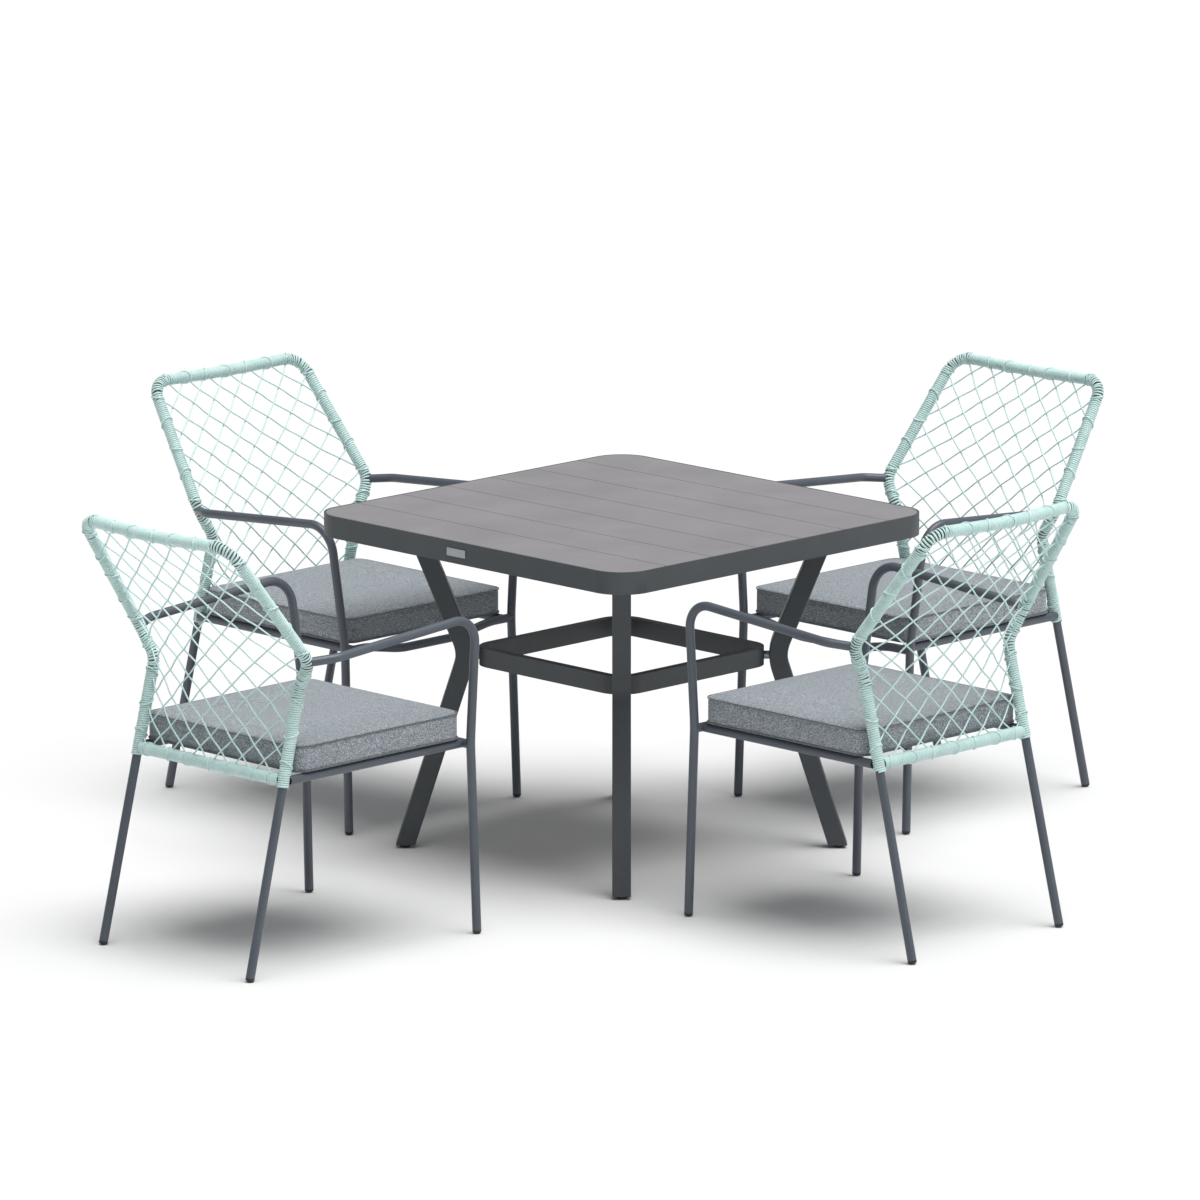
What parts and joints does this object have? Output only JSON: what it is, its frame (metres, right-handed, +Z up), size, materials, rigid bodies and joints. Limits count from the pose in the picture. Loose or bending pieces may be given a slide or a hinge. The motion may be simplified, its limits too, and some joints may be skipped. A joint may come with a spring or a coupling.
{
  "type": "patio dining set",
  "caption": "Square slatted patio table on elbow-shaped legs with a ring stretcher, and stacking armchairs of bent tube with a cord-wound back, a diamond net and a box cushion",
  "frame": {"origin": "on the floor, under the middle of the set's bounding box", "axes": "+Z up; the table's sides lie along X and Y, its planks run along Y; chair 1 stands on -X, 2 on +Y, 3 on +X, 4 on -Y"},
  "size_m": [2.6428, 2.3998, 0.9213],
  "materials": {
    "table_frame": "matt charcoal powder coat",
    "table_planks": "fine-textured warm grey powder coat",
    "chair_tube": "satin slate grey powder coat",
    "back_cord": "mint braided polyolefin cord",
    "cushion_fabric": "heathered grey woven polyester",
    "cushion_foam": "open-cell foam",
    "foot_plastic": "moulded black plastic",
    "badge_metal": "satin blank plate",
    "fasteners": "stainless, dark"
  },
  "bodies": {
    "table": {"table_apron_frame": "table_frame", "table_planks": "table_planks", "table_bearers": "table_frame", "table_corner_braces": "table_frame", "table_leg_1": "table_frame", "table_leg_2": "table_frame", "table_leg_3": "table_frame", "table_leg_4": "table_frame", "table_leg_screws": "fasteners", "table_ring_stretcher": "table_frame", "table_ring_spacers": "fasteners", "table_ring_bolts": "fasteners", "table_leg_plugs": "foot_plastic", "table_badge_plate": "badge_metal"},
    "levelling_foot_1": {"levelling_foot_1": "foot_plastic"},
    "levelling_foot_2": {"levelling_foot_2": "foot_plastic"},
    "levelling_foot_3": {"levelling_foot_3": "foot_plastic"},
    "levelling_foot_4": {"levelling_foot_4": "foot_plastic"},
    "chair_1": {"chair_1_back_frame": "chair_tube", "chair_1_left_arm_and_leg": "chair_tube", "chair_1_right_arm_and_leg": "chair_tube", "chair_1_seat_frame": "chair_tube", "chair_1_seat_slats": "chair_tube", "chair_1_back_wrap": "back_cord", "chair_1_back_net": "back_cord", "chair_1_foot_caps": "foot_plastic"},
    "cushion_1": {"chair_1_cushion_cover": "cushion_fabric", "chair_1_cushion_foam": "cushion_foam"},
    "chair_2": {"chair_2_back_frame": "chair_tube", "chair_2_left_arm_and_leg": "chair_tube", "chair_2_right_arm_and_leg": "chair_tube", "chair_2_seat_frame": "chair_tube", "chair_2_seat_slats": "chair_tube", "chair_2_back_wrap": "back_cord", "chair_2_back_net": "back_cord", "chair_2_foot_caps": "foot_plastic"},
    "cushion_2": {"chair_2_cushion_cover": "cushion_fabric", "chair_2_cushion_foam": "cushion_foam"},
    "chair_3": {"chair_3_back_frame": "chair_tube", "chair_3_left_arm_and_leg": "chair_tube", "chair_3_right_arm_and_leg": "chair_tube", "chair_3_seat_frame": "chair_tube", "chair_3_seat_slats": "chair_tube", "chair_3_back_wrap": "back_cord", "chair_3_back_net": "back_cord", "chair_3_foot_caps": "foot_plastic"},
    "cushion_3": {"chair_3_cushion_cover": "cushion_fabric", "chair_3_cushion_foam": "cushion_foam"},
    "chair_4": {"chair_4_back_frame": "chair_tube", "chair_4_left_arm_and_leg": "chair_tube", "chair_4_right_arm_and_leg": "chair_tube", "chair_4_seat_frame": "chair_tube", "chair_4_seat_slats": "chair_tube", "chair_4_back_wrap": "back_cord", "chair_4_back_net": "back_cord", "chair_4_foot_caps": "foot_plastic"},
    "cushion_4": {"chair_4_cushion_cover": "cushion_fabric", "chair_4_cushion_foam": "cushion_foam"}
  },
  "joints": [
    {"name": "chair_1_slide", "type": "slide", "parent": "table", "child": "chair_1", "axis": [-1, 0, 0], "range_m": [-0.2, 0.3]},
    {"name": "cushion_1_lift", "type": "slide", "parent": "chair_1", "child": "cushion_1", "axis": [0.35, 0, 0.9367], "range_m": [0, 0.2]},
    {"name": "chair_2_slide", "type": "slide", "parent": "table", "child": "chair_2", "axis": [0, 1, 0], "range_m": [0, 0.35]},
    {"name": "cushion_2_lift", "type": "slide", "parent": "chair_2", "child": "cushion_2", "axis": [0, -0.35, 0.9367], "range_m": [0, 0.2]},
    {"name": "chair_3_slide", "type": "slide", "parent": "table", "child": "chair_3", "axis": [1, 0, 0], "range_m": [0, 0.35]},
    {"name": "cushion_3_lift", "type": "slide", "parent": "chair_3", "child": "cushion_3", "axis": [-0.35, 0, 0.9367], "range_m": [0, 0.2]},
    {"name": "chair_4_slide", "type": "slide", "parent": "table", "child": "chair_4", "axis": [0, -1, 0], "range_m": [0, 0.35]},
    {"name": "cushion_4_lift", "type": "slide", "parent": "chair_4", "child": "cushion_4", "axis": [0, 0.35, 0.9367], "range_m": [0, 0.2]},
    {"name": "levelling_foot_1_screw", "type": "slide", "parent": "table", "child": "levelling_foot_1", "axis": [0, 0, -1], "range_m": [0, 0.005]},
    {"name": "levelling_foot_2_screw", "type": "slide", "parent": "table", "child": "levelling_foot_2", "axis": [0, 0, -1], "range_m": [0, 0.005]},
    {"name": "levelling_foot_3_screw", "type": "slide", "parent": "table", "child": "levelling_foot_3", "axis": [0, 0, -1], "range_m": [0, 0.005]},
    {"name": "levelling_foot_4_screw", "type": "slide", "parent": "table", "child": "levelling_foot_4", "axis": [0, 0, -1], "range_m": [0, 0.005]}
  ]
}
